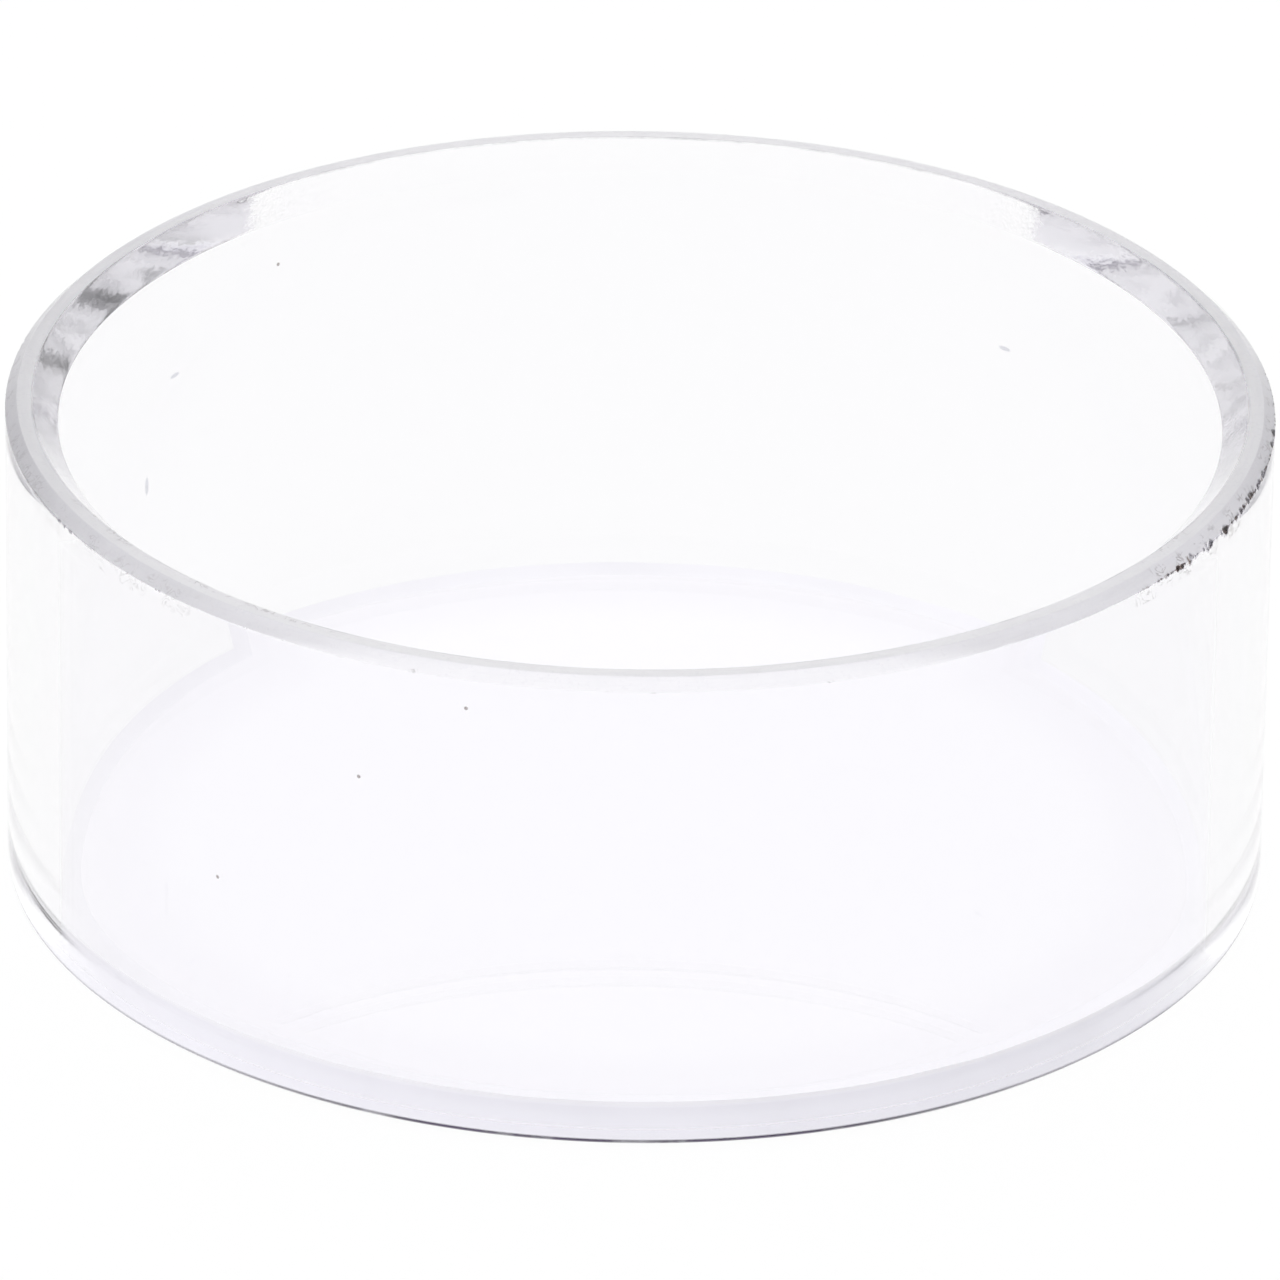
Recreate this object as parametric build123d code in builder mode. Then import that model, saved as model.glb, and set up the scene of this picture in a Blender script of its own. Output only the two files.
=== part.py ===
"""Crystallizing dish: a clear tube wall, a floor disc set into its foot, and the cement that joins them.

The origin is the centre of the foot, on the surface that the dish stands on, and +Z is up.
All sizes are in millimetres.
"""

import os

from build123d import *

os.makedirs("parts", exist_ok=True)

# Driving dimensions of the tube that makes the wall.
outer_diameter = 120.0
dish_height = 48.0
wall_thickness = 5.0

# The rim is ground: a wide 45 degree bevel inside, a flat land, and a narrow bevel outside.
inner_rim_bevel = 2.5
outer_rim_bevel = 1.1

# The foot is ground flat, with only its outer corner taken off.
foot_bevel = 0.3

# The floor disc lies flush with the foot, inside the bore of the tube.
floor_thickness = 2.4

# The cement fills the gap round the disc and spreads into a low bead in the corner above it.
cement_gap = 0.12
bead_width = 2.0
bead_height = 0.45
bead_hollow = 0.05

outer_radius = outer_diameter / 2
bore_radius = outer_radius - wall_thickness
disc_radius = bore_radius - cement_gap


# The wall: a length of tube, bevelled at the rim and at the foot.
with BuildPart() as side_wall:
    with BuildSketch():
        Circle(outer_radius)
        Circle(bore_radius, mode=Mode.SUBTRACT)
    extrude(amount=dish_height)
    rim_edges = side_wall.edges().group_by(Axis.Z)[-1]
    chamfer(rim_edges.sort_by(SortBy.RADIUS)[0], inner_rim_bevel)
    rim_edges = side_wall.edges().group_by(Axis.Z)[-1]
    chamfer(rim_edges.sort_by(SortBy.RADIUS)[-1], outer_rim_bevel)
    foot_edges = side_wall.edges().group_by(Axis.Z)[0]
    chamfer(foot_edges.sort_by(SortBy.RADIUS)[-1], foot_bevel)

side_wall.part.label = "side_wall"
export_step(side_wall.part, "parts/side_wall.step")


# The floor: a disc cut to drop into the bore with room for the cement.
with BuildPart() as floor_disc:
    with BuildSketch():
        Circle(disc_radius)
    extrude(amount=floor_thickness)

floor_disc.part.label = "floor_disc"
export_step(floor_disc.part, "parts/floor_disc.step")


# The cement: a thin sleeve round the disc that ends in a slightly hollow bead over its edge.
bead_top = floor_thickness + bead_height
bead_inner_radius = bore_radius - bead_width
with BuildPart() as cement_joint:
    with BuildSketch(Plane.XZ):
        with BuildLine():
            Polyline(
                (bead_inner_radius, floor_thickness),
                (disc_radius, floor_thickness),
                (disc_radius, 0),
                (bore_radius, 0),
                (bore_radius, bead_top),
            )
            SagittaArc(
                (bore_radius, bead_top),
                (bead_inner_radius, floor_thickness),
                bead_hollow,
            )
        make_face()
    revolve(axis=Axis.Z)

cement_joint.part.label = "cement_joint"
export_step(cement_joint.part, "parts/cement_joint.step")
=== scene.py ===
"""Looks of the crystallizing dish: a clear tube wall, a floor disc in its foot and the cement between."""

import math
import random

import bpy
from mathutils import Matrix, Vector, noise


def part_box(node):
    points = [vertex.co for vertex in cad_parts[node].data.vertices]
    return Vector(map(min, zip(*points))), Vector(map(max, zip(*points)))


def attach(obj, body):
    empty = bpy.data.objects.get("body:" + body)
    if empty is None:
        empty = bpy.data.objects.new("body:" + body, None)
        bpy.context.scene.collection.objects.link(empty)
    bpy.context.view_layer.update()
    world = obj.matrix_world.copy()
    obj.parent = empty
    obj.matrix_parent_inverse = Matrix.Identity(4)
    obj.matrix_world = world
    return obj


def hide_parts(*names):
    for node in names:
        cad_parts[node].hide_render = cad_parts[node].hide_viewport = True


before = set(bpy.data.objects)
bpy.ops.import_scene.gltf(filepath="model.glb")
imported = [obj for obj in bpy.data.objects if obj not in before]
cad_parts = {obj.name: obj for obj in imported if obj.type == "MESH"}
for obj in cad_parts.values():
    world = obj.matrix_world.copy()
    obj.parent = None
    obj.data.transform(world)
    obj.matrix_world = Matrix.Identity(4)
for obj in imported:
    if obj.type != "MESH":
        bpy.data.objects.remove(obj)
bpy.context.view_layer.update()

MM = 0.001

# Sizes that the CAD nodes give.
WALL_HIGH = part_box("side_wall")[1]
FLOOR_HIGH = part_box("floor_disc")[1]
CEMENT_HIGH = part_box("cement_joint")[1]
HEIGHT = WALL_HIGH.z
FLOOR_TOP = FLOOR_HIGH.z
BEAD_TOP = CEMENT_HIGH.z

# Sizes of the ground edges, and the radii, as in the CAD.
OUTER_RADIUS = 60.0 * MM
BORE_RADIUS = 55.0 * MM
DISC_RADIUS = 54.88 * MM
RIM_BEVEL = 2.5 * MM
RIM_OUTER_BEVEL = 1.1 * MM
FOOT_BEVEL = 0.3 * MM
BEAD_WIDTH = 2.0 * MM

# How far below the rim's outer corner the chips may reach.
CHIP_REACH = 1.6 * MM
FINE_FROM = HEIGHT - RIM_OUTER_BEVEL - CHIP_REACH

# The upper face of the floor disc is a slightly darker lilac near its edge, which fades out between these
# radii.
BAND_START = 42.0 * MM
BAND_FULL = 50.0 * MM

# How much the corners of the sections are rounded, and the angle above which an edge stays sharp.
WALL_ROUNDING = 0.1 * MM
DISC_ROUNDING = 0.08 * MM
SHARP_ANGLE = math.radians(32)

# How long the runs of a section may be: on plain faces, on the ground rim, and where the rim is chipped.
PLAIN_RUN = 3 * MM
DISC_RUN = 4 * MM
RIM_RUN = 0.22 * MM
CHIP_RUN = 0.14 * MM

# Steps round the dish, in degrees: the usual one, and the one in the chipped stretches.
TURN_STEP = 0.5
CHIP_STEP = 0.125

# Air between the cement and its neighbours, how far its sleeve stays above the foot, and how unevenly its bead
# rises round the dish.
CEMENT_AIR = 0.004 * MM
CEMENT_LIFT = 0.02 * MM
BEAD_SWELL = 0.2

# Zones of the wall, which differ in finish.
CLEAR, LAND, BEVEL, OUTER_EDGE, FOOT = range(5)

# How frosted each zone of the wall is, from 0 for polished to 1 for coarsely ground.
FROST = {CLEAR: 0.0, LAND: 1.0, BEVEL: 0.22, OUTER_EDGE: 0.7, FOOT: 0.12}

# Zones of the floor disc.
DISC_FACE, DISC_EDGE = range(2)

# Zones of the cement.
BEAD, SLEEVE = range(2)

# Stretches of the rim, in degrees from +X towards +Y, that are chipped and need a finer mesh.
CHIPPED_RIGHT = (-40.0, 8.0)
CHIPPED_LEFT = (205.0, 240.0)

# Batches of chips: the seed, the stretch in degrees, how many, their least and greatest size, and how far
# their middles may lie from the edge.
CHIP_BATCHES = (
    (11, (-34, -4), 60, (0.3 * MM, 0.8 * MM), 0.12 * MM),
    (12, (-42, 10), 70, (0.15 * MM, 0.35 * MM), 0.08 * MM),
    (15, (0, 360), 260, (0.12 * MM, 0.3 * MM), 0.05 * MM),
)

# Where dirt sits in the rim: the first and last degree of each stretch, its soft ends, and how much.
OUTER_SOIL = ((-36, 4, 6, 0.6), (172, 222, 10, 0.3))
INNER_SOIL = ((-35, -28, 2, 0.66), (208, 238, 6, 0.5))


def smooth_step(low, high, value):
    """0 below low, 1 above high, and a soft ramp between."""
    share = min(1.0, max(0.0, (value - low) / (high - low)))
    return share * share * (3 - 2 * share)


# ---------------------------------------------------------------- meshes


def rounded_corners(corners, radius, steps=3):
    """The corners of an open outline with each inner one replaced by a small arc.

    corners is a list of (point, zone), where zone is that of the run that follows the point.
    """
    outline = [corners[0]]
    for before, here, after in zip(corners, corners[1:], corners[2:]):
        point = Vector(here[0])
        back = (Vector(before[0]) - point).normalized()
        on = (Vector(after[0]) - point).normalized()
        half_turn = back.angle(on) / 2
        if half_turn > math.radians(89):
            outline.append(here)
            continue
        reach = radius / math.tan(half_turn)
        centre = point + (back + on).normalized() * (radius / math.sin(half_turn))
        first = point + back * reach - centre
        last = point + on * reach - centre
        for step in range(steps + 1):
            share = step / steps
            arm = first.lerp(last, share).normalized() * radius
            zone = before[1] if share < 0.5 else here[1]
            outline.append((tuple(centre + arm), zone))
    outline.append(corners[-1])
    return outline


def divided(outline, longest):
    """The outline with its runs cut so that none is longer than longest(middle of the run)."""
    points = []
    for (here, zone), (after, _) in zip(outline, outline[1:]):
        a, b = Vector(here), Vector(after)
        count = max(1, math.ceil((b - a).length / longest((a + b) / 2)))
        for step in range(count):
            points.append((tuple(a.lerp(b, step / count)), zone))
    points.append(outline[-1])
    return points


def ring_angles(coarse, fine, stretches):
    """Angles round the dish in radians, close together in the given stretches."""
    angles = []
    angle = 0.0
    while angle < 360.0 - coarse / 2:
        angles.append(math.radians(angle))
        near = any(low <= angle + turn <= high for low, high in stretches for turn in (-360, 0, 360))
        angle += fine if near else coarse
    return angles


def lathe(name, outline, angles, shape=None, frost=None):
    """A closed mesh made by turning an outline of (point, zone) round the Z axis.

    The outline runs outwards below and back inwards above. One that starts and ends on the axis is closed
    there, and any other is closed on itself. shape(place, angle) may give each point a new place and a share
    of grime from 0 to 1. frost gives how frosted each zone is, and without it each zone takes the material
    of its number.
    """
    on_axis = outline[0][0][0] == 0
    body = outline[1:-1] if on_axis else outline
    rows, count = len(body), len(angles)
    places, grime = [], []
    for angle in angles:
        for (radius, height), _ in body:
            place = Vector((radius * math.cos(angle), radius * math.sin(angle), height))
            soiled = 0.0
            if shape:
                place, soiled = shape(place, angle)
            places.append(place)
            grime.append(soiled)
    faces, zones = [], []
    for i in range(count):
        after = (i + 1) % count
        for row in range(rows if not on_axis else rows - 1):
            up = (row + 1) % rows
            faces.append((i * rows + row, after * rows + row, after * rows + up, i * rows + up))
            zones.append(body[row][1])
    if on_axis:
        for end, row, zone in ((outline[0], 0, outline[0][1]), (outline[-1], rows - 1, body[-1][1])):
            middle = len(places)
            places.append(Vector((0, 0, end[0][1])))
            grime.append(0.0)
            for i in range(count):
                after = (i + 1) % count
                pair = (i * rows + row, after * rows + row)
                faces.append((*pair, middle) if row else (*reversed(pair), middle))
                zones.append(zone)
    mesh = bpy.data.meshes.new(name)
    mesh.from_pydata([tuple(p) for p in places], [], faces)
    if frost:
        haze = mesh.attributes.new("frost", "FLOAT", "FACE")
        haze.data.foreach_set("value", [frost[zone] for zone in zones])
    else:
        mesh.polygons.foreach_set("material_index", zones)
    soil = mesh.attributes.new("grime", "FLOAT", "POINT")
    soil.data.foreach_set("value", grime)
    mesh.shade_smooth()
    mesh.set_sharp_from_angle(angle=SHARP_ANGLE)
    piece = bpy.data.objects.new(name, mesh)
    bpy.context.scene.collection.objects.link(piece)
    return piece


def chips(seed, stretch, count, sizes, spread):
    """Balls that bite into the rim's outer corner. Each lies just outside it and leaves a round chip."""
    draw = random.Random(seed)
    corner_height = HEIGHT - RIM_OUTER_BEVEL
    bites = []
    for _ in range(count):
        angle = math.radians(draw.uniform(*stretch))
        size = draw.uniform(*sizes) * draw.uniform(0.6, 1.0)
        out = OUTER_RADIUS + draw.uniform(-spread, spread) + size * 0.5
        height = corner_height + size * draw.uniform(-0.3, 0.6)
        middle = Vector((out * math.cos(angle), out * math.sin(angle), height))
        bites.append((middle, size, draw.uniform(0.0, 50.0)))
    return bites


# How far a bite can reach, as a share of its size.
BITE_REACH = 1.4


def bite(place, bites):
    """The place after every bite that reaches it, and how deep the deepest went as a share of its ball."""
    grain = 0.45 * MM
    depth = 0.0
    for middle, size, seed in bites:
        arm = place - middle
        if arm.length > size * BITE_REACH:
            continue
        rough = size * (1 + 0.28 * noise.noise(place / grain + Vector((seed, 0, 0))))
        if arm.length < rough:
            depth = max(depth, (rough - arm.length) / size)
            place = middle + arm.normalized() * rough
    return place, depth


def wall_outline():
    """The wall's section from the foot, up the outside, over the rim and down the bore."""
    land_inner = BORE_RADIUS + RIM_BEVEL
    land_outer = OUTER_RADIUS - RIM_OUTER_BEVEL
    corners = [
        ((BORE_RADIUS, 0), FOOT),
        ((OUTER_RADIUS - FOOT_BEVEL, 0), FOOT),
        ((OUTER_RADIUS, FOOT_BEVEL), CLEAR),
        ((OUTER_RADIUS, FINE_FROM), CLEAR),
        ((OUTER_RADIUS, HEIGHT - RIM_OUTER_BEVEL), OUTER_EDGE),
        ((land_outer, HEIGHT), LAND),
        ((land_inner, HEIGHT), BEVEL),
        ((BORE_RADIUS, HEIGHT - RIM_BEVEL), CLEAR),
        ((BORE_RADIUS, 0), CLEAR),
    ]

    def longest(middle):
        """How long a run may be, from its middle."""
        if middle.y < FINE_FROM or middle.x < BORE_RADIUS + 0.1 * MM:
            return PLAIN_RUN
        return CHIP_RUN if middle.x > land_outer - 0.4 * MM else RIM_RUN

    return divided(rounded_corners(corners, WALL_ROUNDING), longest)[:-1]


def window(low, high, soft, value):
    """1 between low and high and 0 outside, with soft ends."""
    return smooth_step(low - soft, low, value) * (1 - smooth_step(high, high + soft, value))


def soil_at(stretches, degrees):
    """The share of dirt at an angle, summed over the stretches."""
    total = 0.0
    for first, last, soft, share in stretches:
        total += share * max(window(first, last, soft, degrees + turn) for turn in (0, -360))
    return total


def make_wall():
    """The tube wall, with chips along its rim."""
    bites = []
    for batch in CHIP_BATCHES:
        bites += chips(*batch)

    def shape(place, angle):
        """The place after the chips, and how dirty it is."""
        radius = place.xy.length
        if place.z < FINE_FROM or radius < BORE_RADIUS + 0.05 * MM:
            return place, 0.0
        degrees = math.degrees(angle)
        outside = smooth_step(58.8 * MM, 59.5 * MM, radius)
        inside = window(57.1 * MM, 57.9 * MM, 0.4 * MM, radius)
        soiled = outside * soil_at(OUTER_SOIL, degrees) + inside * soil_at(INNER_SOIL, degrees)
        near = [b for b in bites if (b[0] - place).length < b[1] * BITE_REACH]
        place, depth = bite(place, near)
        return place, min(1.0, soiled + 0.5 * smooth_step(0.02, 0.22, depth))

    angles = ring_angles(TURN_STEP, CHIP_STEP, (CHIPPED_RIGHT, CHIPPED_LEFT))
    return lathe("clear_tube_wall", wall_outline(), angles, shape, FROST)


def make_floor():
    """The floor disc, with softened corners and a zone of its own for the cut edge."""
    corners = [
        ((0, 0), DISC_FACE),
        ((DISC_RADIUS, 0), DISC_EDGE),
        ((DISC_RADIUS, FLOOR_TOP), DISC_FACE),
        ((0, FLOOR_TOP), DISC_FACE),
    ]
    outline = divided(rounded_corners(corners, DISC_ROUNDING), lambda middle: DISC_RUN)
    return lathe("clear_floor_disc", outline, ring_angles(TURN_STEP, TURN_STEP, ()))


def make_cement():
    """The cured cement: a thin sleeve round the disc and a low, uneven bead in the corner above it."""
    inner = DISC_RADIUS + CEMENT_AIR
    outer = BORE_RADIUS - CEMENT_AIR
    foot = FLOOR_TOP + CEMENT_AIR
    rise = BEAD_TOP - foot
    steps = 6
    slope = []
    for step in range(1, steps):
        share = step / steps
        radius = outer - share * (BEAD_WIDTH - CEMENT_AIR)
        slope.append(((radius, foot + (1 - share) ** 1.3 * rise), BEAD))
    outline = [
        ((inner, CEMENT_LIFT), SLEEVE),
        ((outer, CEMENT_LIFT), SLEEVE),
        ((outer, FLOOR_TOP), BEAD),
        ((outer, BEAD_TOP), BEAD),
        *slope,
        ((BORE_RADIUS - BEAD_WIDTH, foot), BEAD),
        ((inner, foot), SLEEVE),
    ]

    def shape(place, angle):
        """The place with the bead lowered unevenly round the dish, and no dirt."""
        if place.z < foot + CEMENT_AIR:
            return place, 0.0
        swell = 0.9 + BEAD_SWELL * noise.noise(Vector((9 * math.cos(angle), 9 * math.sin(angle), 3)))
        return Vector((place.x, place.y, foot + (place.z - foot) * min(1.0, swell))), 0.0

    return lathe("cement_bead", outline, ring_angles(TURN_STEP, TURN_STEP, ()), shape)


# ---------------------------------------------------------------- materials


def node_adder(tree):
    """A helper that adds a node to the tree with its settings."""

    def add(kind, **values):
        node = tree.nodes.new(kind)
        for key, value in values.items():
            if key in node.inputs:
                node.inputs[key].default_value = value
            else:
                setattr(node, key, value)
        return node

    return add


def new_material(name):
    """A material with a Principled shader, its tree, and the helper that adds nodes to it."""
    material = bpy.data.materials.new(name)
    material.use_nodes = True
    tree = material.node_tree
    return material, tree, tree.nodes["Principled BSDF"], node_adder(tree)


def glass(name, colour, roughness):
    """A clear material of the given colour and roughness."""
    material, tree, shader, add = new_material(name)
    shader.inputs["Base Color"].default_value = (*colour, 1)
    shader.inputs["Roughness"].default_value = roughness
    shader.inputs["IOR"].default_value = CLEAR_IOR
    shader.inputs["Transmission Weight"].default_value = 1.0
    return material, tree, shader, add


# How strongly the clear pieces and the cement bend light.
CLEAR_IOR = 1.49

# Colours, in linear light.
WALL_TINT = (0.985, 0.983, 0.99)
FLOOR_TINT = (0.975, 0.965, 1.0)
EDGE_BAND_TINT = (0.925, 0.91, 0.96)
GROUND_LIGHT = (1.0, 1.0, 1.0)
GROUND_DULL = (0.87, 0.87, 0.89)
# Dark grey of the rim's inner corner: a painted reflection of the dark surroundings in the rounded edge.
ARRIS_SHADE = (0.2, 0.19, 0.23)
DIRT = (0.07, 0.04, 0.03)
# Near-black violet of the foot's edge: painted contact shadow where the dish meets the floor, partly bench
# dirt.
FOOT_SHADE_AND_DIRT = (0.006, 0.003, 0.012)
BEAD_TINT = (0.87, 0.86, 0.905)
SLEEVE_TINT = (0.865, 0.855, 0.92)
SCRATCH_TINT = (0.55, 0.55, 0.62)
SPECK_TINT = (0.2, 0.17, 0.16)


def on_wall(radius, degrees, height):
    """The place on a round face at an angle in degrees from +X towards +Y and a height in millimetres."""
    angle = math.radians(degrees)
    return Vector((radius * math.cos(angle), radius * math.sin(angle), height * MM))


# How far a scratch that lies flat, one that stands upright and a speck of dust reach along X, Y and Z.
FLAT_SCRATCH = Vector((0.9, 0.9, 0.3)) * MM
UPRIGHT_SCRATCH = Vector((0.4, 0.4, 1.2)) * MM
SPECK = Vector((0.25, 0.25, 0.25)) * MM

# The few marks on the wall, at rounded places: where each lies, how far it reaches, and its tint.
MARKS = (
    (on_wall(BORE_RADIUS, 145, 34), FLAT_SCRATCH, SCRATCH_TINT),
    (on_wall(BORE_RADIUS, 150, 24), UPRIGHT_SCRATCH, SCRATCH_TINT),
    (on_wall(BORE_RADIUS, 50, 33), FLAT_SCRATCH, SCRATCH_TINT),
    (on_wall(BORE_RADIUS, 130, 41), SPECK, SPECK_TINT),
    (on_wall(OUTER_RADIUS, 230, 20), SPECK, SPECK_TINT),
    (on_wall(OUTER_RADIUS, 245, 35), SPECK, SPECK_TINT),
    (on_wall(OUTER_RADIUS, 255, 44), SPECK, SPECK_TINT),
)

# Light that runs a long way inside the wall loses a little, red and green first.
DEPTH_TINT = (0.5, 0.48, 0.55)
DEPTH_DENSITY = 4.0

# How rough the coarsest ground face is.
GROUND_ROUGHNESS = 0.42

# How deep the grinding marks of the rim and the texture of its bevel are.
GRIND_DEPTH = 0.024 * MM
PEEL_DEPTH = 0.02 * MM


def ramp(tree, add, source, low, high, to_low=0.0, to_high=1.0):
    """The source value stretched from low..high to to_low..to_high."""
    node = add("ShaderNodeMapRange")
    node.interpolation_type = "SMOOTHSTEP"
    node.inputs["From Min"].default_value = low
    node.inputs["From Max"].default_value = high
    node.inputs["To Min"].default_value = to_low
    node.inputs["To Max"].default_value = to_high
    tree.links.new(source, node.inputs["Value"])
    return node.outputs["Result"]


def maths(tree, add, operation, first, second):
    """The result of an operation on two values, each a number or a socket."""
    node = add("ShaderNodeMath", operation=operation)
    for socket, value in zip(node.inputs, (first, second)):
        if isinstance(value, (int, float)):
            socket.default_value = value
        else:
            tree.links.new(value, socket)
    return node.outputs[0]


def times(tree, add, first, *others):
    """The product of two or more values."""
    for other in others:
        first = maths(tree, add, "MULTIPLY", first, other)
    return first


def textured(tree, add, place, scale, **settings):
    """The value of a noise of the given scale at a place."""
    node = add("ShaderNodeTexNoise", Scale=scale, **settings)
    tree.links.new(place, node.inputs["Vector"])
    return node.outputs["Fac"]


def blend_colours(tree, add, share, first, second):
    """The first colour where the share is 0 and the second where it is 1."""
    node = add("ShaderNodeMix", data_type="RGBA")
    tree.links.new(share, node.inputs["Factor"])
    for name, value in (("A", first), ("B", second)):
        if isinstance(value, tuple):
            node.inputs[name].default_value = (*value, 1)
        else:
            tree.links.new(value, node.inputs[name])
    return node.outputs["Result"]


def place_on_part(tree, add):
    """The place itself, its part level with the floor, its distance from the axis, and its X, Y and Z."""
    link = tree.links.new
    place = add("ShaderNodeTexCoord").outputs["Object"]
    parts = add("ShaderNodeSeparateXYZ")
    link(place, parts.inputs[0])
    flat = add("ShaderNodeVectorMath", operation="MULTIPLY")
    flat.inputs[1].default_value = (1, 1, 0)
    link(place, flat.inputs[0])
    length = add("ShaderNodeVectorMath", operation="LENGTH")
    link(flat.outputs["Vector"], length.inputs[0])
    return place, flat.outputs["Vector"], length.outputs["Value"], parts.outputs


def along_rim(tree, add, flat, radius, height, across, along):
    """Texture coordinates that run round the dish, so that a noise becomes fine turning lines."""
    link = tree.links.new
    unit = add("ShaderNodeVectorMath", operation="NORMALIZE")
    link(flat, unit.inputs[0])
    ring = add("ShaderNodeVectorMath", operation="SCALE")
    ring.inputs["Scale"].default_value = along
    link(unit.outputs["Vector"], ring.inputs[0])
    up = add("ShaderNodeCombineXYZ")
    link(times(tree, add, maths(tree, add, "SUBTRACT", radius, height), across), up.inputs["Z"])
    both = add("ShaderNodeVectorMath", operation="ADD")
    link(ring.outputs["Vector"], both.inputs[0])
    link(up.outputs["Vector"], both.inputs[1])
    return both.outputs["Vector"]


def near_line(tree, add, source, at, width):
    """1 where the source is at the given value, falling to 0 at a width away."""
    away = maths(tree, add, "ABSOLUTE", maths(tree, add, "SUBTRACT", source, at), 0.0)
    return ramp(tree, add, away, 0.35 * width, width, 1.0, 0.0)


def mark(tree, add, place, middle, reach):
    """1 inside a small ellipsoid about its middle, with a soft edge."""
    away = add("ShaderNodeVectorMath", operation="SUBTRACT")
    tree.links.new(place, away.inputs[0])
    away.inputs[1].default_value = middle
    share = add("ShaderNodeVectorMath", operation="DIVIDE")
    tree.links.new(away.outputs["Vector"], share.inputs[0])
    share.inputs[1].default_value = reach
    length = add("ShaderNodeVectorMath", operation="LENGTH")
    tree.links.new(share.outputs["Vector"], length.inputs[0])
    return ramp(tree, add, length.outputs["Value"], 0.5, 1.0, 1.0, 0.0)


def ground_colour(tree, add, place, lines, patches, frost):
    """Clear where the wall is polished, and a pale grey with lines and speckles where it is ground."""
    mottle = ramp(tree, add, patches, 0.35, 0.7, 0.0, 0.6)
    worn = ramp(tree, add, lines, 0.4, 0.75, 0.0, 0.8)
    grains = textured(tree, add, place, 2200.0, Detail=2.0)
    speckle = ramp(tree, add, grains, 0.5, 0.72, 0.0, 0.9)
    cover = maths(tree, add, "MAXIMUM", maths(tree, add, "MAXIMUM", mottle, worn), speckle)
    ground = blend_colours(tree, add, cover, GROUND_LIGHT, GROUND_DULL)
    return blend_colours(tree, add, ramp(tree, add, frost, 0.0, 1.0), WALL_TINT, ground)


def painted_corner_shade(tree, add, radius, height, broken):
    """The corner between the land and the inner bevel, painted with a broken thin dark line: a painted
    reflection of the dark surroundings in its rounded edge.
    """
    corner = near_line(tree, add, radius, BORE_RADIUS + RIM_BEVEL, 0.18 * MM)
    bevel_foot = HEIGHT - RIM_BEVEL
    high = ramp(tree, add, height, bevel_foot - 0.4 * MM, bevel_foot - 0.2 * MM)
    return times(tree, add, corner, high, ramp(tree, add, broken, 0.4, 0.7, 0.0, 0.75))


def chip_dirt(tree, add, place):
    """Dirt in the hair cracks round the chips, which is packed full where the grime is thickest."""
    soil = add("ShaderNodeAttribute", attribute_name="grime").outputs["Fac"]
    cracks = textured(tree, add, place, 850.0, Detail=2.0, Distortion=1.2)
    away = maths(tree, add, "ABSOLUTE", maths(tree, add, "SUBTRACT", cracks, 0.5), 0.0)
    hair = ramp(tree, add, away, 0.015, 0.06, 1.0, 0.0)
    clumps = textured(tree, add, place, 420.0, Detail=3.0)
    scattered = times(tree, add, hair, ramp(tree, add, clumps, 0.46, 0.58), soil)
    clotted = ramp(tree, add, clumps, 0.4, 0.52)
    packed = times(tree, add, ramp(tree, add, soil, 0.68, 0.95), clotted)
    return maths(tree, add, "MAXIMUM", scattered, packed)


def painted_foot_shade(tree, add, radius, parts, broken):
    """Painted contact shadow on the outer edge of the foot, where the dish meets the floor, partly bench dirt;
    less of it towards the sides of the dish.
    """
    low = ramp(tree, add, parts["Z"], 0.42 * MM, 0.62 * MM, 1.0, 0.0)
    outside = ramp(tree, add, radius, OUTER_RADIUS - 0.5 * MM, OUTER_RADIUS - 0.3 * MM)
    streak = ramp(tree, add, broken, 0.3, 0.5, 0.85, 1.0)
    sideways = maths(tree, add, "ABSOLUTE", parts["X"], 0.0)
    spread = ramp(tree, add, sideways, 0.3 * OUTER_RADIUS, 0.95 * OUTER_RADIUS, 1.0, 0.6)
    return times(tree, add, low, outside, streak, spread)


def rim_relief(tree, add, place, lines, patches, frost):
    """Bumps of the grinding, and on the smoothed inner bevel only a shallow orange-peel texture."""
    rise = maths(tree, add, "ADD", lines, times(tree, add, patches, 0.5))
    rise = times(tree, add, rise, times(tree, add, frost, GRIND_DEPTH))
    peel = textured(tree, add, place, 1100.0, Detail=3.0)
    smoothed = near_line(tree, add, frost, FROST[BEVEL], 0.1)
    peeled = times(tree, add, peel, times(tree, add, smoothed, PEEL_DEPTH))
    relief = add("ShaderNodeBump", Strength=1.0, Distance=1.0)
    tree.links.new(maths(tree, add, "ADD", rise, peeled), relief.inputs["Height"])
    return relief.outputs["Normal"]


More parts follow.
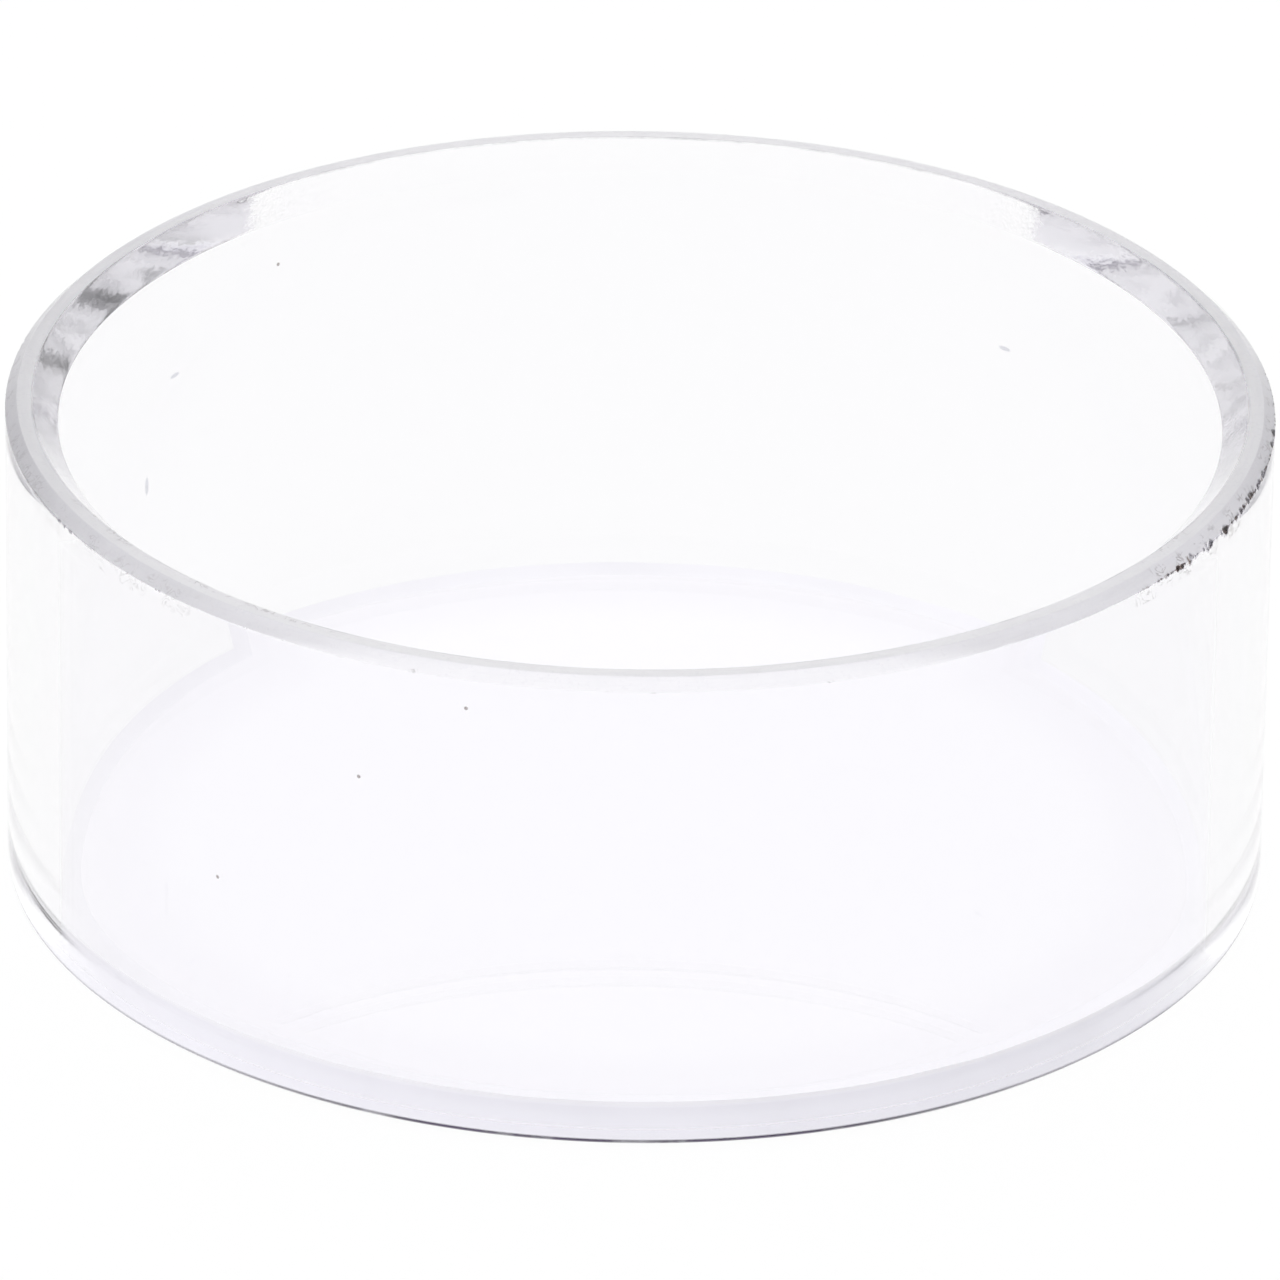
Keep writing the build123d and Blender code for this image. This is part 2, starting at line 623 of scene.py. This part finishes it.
def wall_material():
    """The wall: polished where it is round, frosted where it is ground, and soiled in the chips."""
    material, tree, shader, add = glass("clear wall with a ground rim", WALL_TINT, 0.0)
    link = tree.links.new
    place, flat, radius, parts = place_on_part(tree, add)
    height = parts["Z"]
    frost = add("ShaderNodeAttribute", attribute_name="frost").outputs["Fac"]
    turning = along_rim(tree, add, flat, radius, height, 2600.0, 14.0)
    lines = textured(tree, add, turning, 1.0, Detail=3.0)
    patches = textured(tree, add, place, 420.0, Detail=5.0, Roughness=0.65)
    broken = textured(tree, add, place, 120.0, Detail=5.0, Roughness=0.7)

    colour = ground_colour(tree, add, place, lines, patches, frost)
    # Painted reflection: the rounded inner corner of the rim drawn as a dark broken line.
    corner_shade = painted_corner_shade(tree, add, radius, height, broken)
    colour = blend_colours(tree, add, corner_shade, colour, ARRIS_SHADE)
    colour = blend_colours(tree, add, chip_dirt(tree, add, place), colour, DIRT)
    for middle, reach, tint in MARKS:
        share = mark(tree, add, place, middle, reach)
        colour = blend_colours(tree, add, share, colour, tint)
    # Painted contact shadow along the foot's outer edge, partly bench dirt.
    foot_shade = painted_foot_shade(tree, add, radius, parts, broken)
    colour = blend_colours(tree, add, foot_shade, colour, FOOT_SHADE_AND_DIRT)
    link(colour, shader.inputs["Base Color"])

    link(times(tree, add, frost, GROUND_ROUGHNESS), shader.inputs["Roughness"])
    link(rim_relief(tree, add, place, lines, patches, frost), shader.inputs["Normal"])

    depth = add("ShaderNodeVolumeAbsorption", Density=DEPTH_DENSITY)
    depth.inputs["Color"].default_value = (*DEPTH_TINT, 1)
    link(depth.outputs["Volume"], tree.nodes["Material Output"].inputs["Volume"])
    return material


def floor_material():
    """The floor disc: clear and polished, with a slightly darker lilac band round the edge of its upper face.
    """
    material, tree, shader, add = glass("clear polished floor", FLOOR_TINT, 0.0)
    _, _, radius, parts = place_on_part(tree, add)
    # A slightly darker lilac band near the edge of the upper face.
    outer = ramp(tree, add, radius, BAND_START, BAND_FULL)
    upper = ramp(tree, add, parts["Z"], 0.6 * FLOOR_TOP, 0.8 * FLOOR_TOP)
    haze = times(tree, add, outer, upper)
    tree.links.new(blend_colours(tree, add, haze, FLOOR_TINT, EDGE_BAND_TINT), shader.inputs["Base Color"])
    return material


def cut_edge_material():
    """The disc's cut edge, slightly duller than its faces."""
    return glass("cut disc edge", FLOOR_TINT, 0.03)[0]


def cement_material(name, colour):
    """Cured cement: milky, so that it shows as a pale band through the wall."""
    material, tree, shader, add = new_material(name)
    place = add("ShaderNodeTexCoord").outputs["Object"]
    clouds = textured(tree, add, place, 90.0, Detail=5.0)
    share = ramp(tree, add, clouds, 0.35, 0.7)
    darker = tuple(0.97 * part for part in colour)
    tree.links.new(blend_colours(tree, add, share, colour, darker), shader.inputs["Base Color"])
    shader.inputs["Roughness"].default_value = 0.35
    shader.inputs["IOR"].default_value = CLEAR_IOR
    return material


# ---------------------------------------------------------------- studio


# How bright the light tent is.
WORLD_STRENGTH = 1.15

# The tent is open and dark in two places, which mirror in the rim: a wide opening to the right of the camera
# and a narrow one further round. Each is given by its ends in degrees from +X towards +Y.
WIDE_OPENING = (-65, -10)
NARROW_OPENING = (10, 30)

# Both openings start at the horizon and end at this share of the way up.
OPENING_TOP = 0.4


def make_stage():
    """A plain pale floor that runs out of view on all sides, a hair below the foot."""
    half = 30.0
    drop = 0.02 * MM
    mesh = bpy.data.meshes.new("studio_floor")
    corners = [(-half, -half, -drop), (half, -half, -drop), (half, half, -drop), (-half, half, -drop)]
    mesh.from_pydata(corners, [], [(0, 1, 2, 3)])
    floor = bpy.data.objects.new("studio_floor", mesh)
    bpy.context.scene.collection.objects.link(floor)
    material, tree, shader, add = new_material("pale studio floor")
    shader.inputs["Base Color"].default_value = (0.9, 0.9, 0.9, 1)
    shader.inputs["Roughness"].default_value = 0.6
    shader.inputs["Specular IOR Level"].default_value = 0.2
    mesh.materials.append(material)


def make_light():
    """Soft light from all round, as in a light tent that is open in two places."""
    world = bpy.data.worlds.new("light tent")
    bpy.context.scene.world = world
    world.use_nodes = True
    tree = world.node_tree
    add = node_adder(tree)
    place = add("ShaderNodeTexCoord")
    parts = add("ShaderNodeSeparateXYZ")
    tree.links.new(place.outputs["Generated"], parts.inputs[0])
    round_about = maths(tree, add, "ARCTAN2", parts.outputs["Y"], parts.outputs["X"])

    def within(value, low, high, soft):
        """1 where the value is between low and high, with soft ends."""
        start = ramp(tree, add, value, low - soft, low + soft)
        stop = ramp(tree, add, value, high - soft, high + soft, 1.0, 0.0)
        return times(tree, add, start, stop)

    across = 0.0
    for first, last in (WIDE_OPENING, NARROW_OPENING):
        opening = within(round_about, math.radians(first), math.radians(last), math.radians(3))
        across = maths(tree, add, "MAXIMUM", across, opening)
    dim = times(tree, add, across, within(parts.outputs["Z"], 0.0, OPENING_TOP, 0.03))
    background = tree.nodes["Background"]
    tree.links.new(maths(tree, add, "SUBTRACT", 1.0, dim), background.inputs["Color"])
    background.inputs["Strength"].default_value = WORLD_STRENGTH


def make_camera():
    """A long lens that looks down on the dish from the front, turned very slightly about its own axis."""
    elevation = math.radians(26.79)
    roll = math.radians(0.792)
    distance = 1495.0 * MM
    aim = Vector((0.27, 0.0, 21.97)) * MM
    camera_data = bpy.data.cameras.new("camera")
    camera_data.sensor_width = 36.0
    camera_data.lens = 441.6
    camera_data.clip_end = 100.0
    camera = bpy.data.objects.new("camera", camera_data)
    bpy.context.scene.collection.objects.link(camera)
    towards_viewer = Vector((0.0, -math.cos(elevation), math.sin(elevation)))
    turn = Matrix.Rotation(math.pi / 2 - elevation, 4, "X") @ Matrix.Rotation(roll, 4, "Z")
    camera.matrix_world = Matrix.Translation(aim + towards_viewer * distance) @ turn
    bpy.context.scene.camera = camera


# ---------------------------------------------------------------- assembly


wall = make_wall()
wall.data.materials.append(wall_material())
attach(wall, "root")
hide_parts("side_wall")

floor_disc = make_floor()
floor_disc.data.materials.append(floor_material())
floor_disc.data.materials.append(cut_edge_material())
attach(floor_disc, "root")
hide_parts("floor_disc")

cement = make_cement()
cement.data.materials.append(cement_material("cement bead", BEAD_TINT))
cement.data.materials.append(cement_material("cement sleeve", SLEEVE_TINT))
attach(cement, "root")
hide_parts("cement_joint")

# The clear pieces cast no shadow, and leave the studio floor evenly white.
for piece in (wall, floor_disc, cement):
    piece.visible_diffuse = False
    piece.visible_shadow = False

make_stage()
make_light()
make_camera()

# Light goes round and round inside the clear wall, so it needs many bounces.
BOUNCES = 128
scene = bpy.context.scene
scene.view_settings.view_transform = "Standard"
scene.cycles.max_bounces = BOUNCES
scene.cycles.transmission_bounces = BOUNCES
scene.cycles.glossy_bounces = BOUNCES
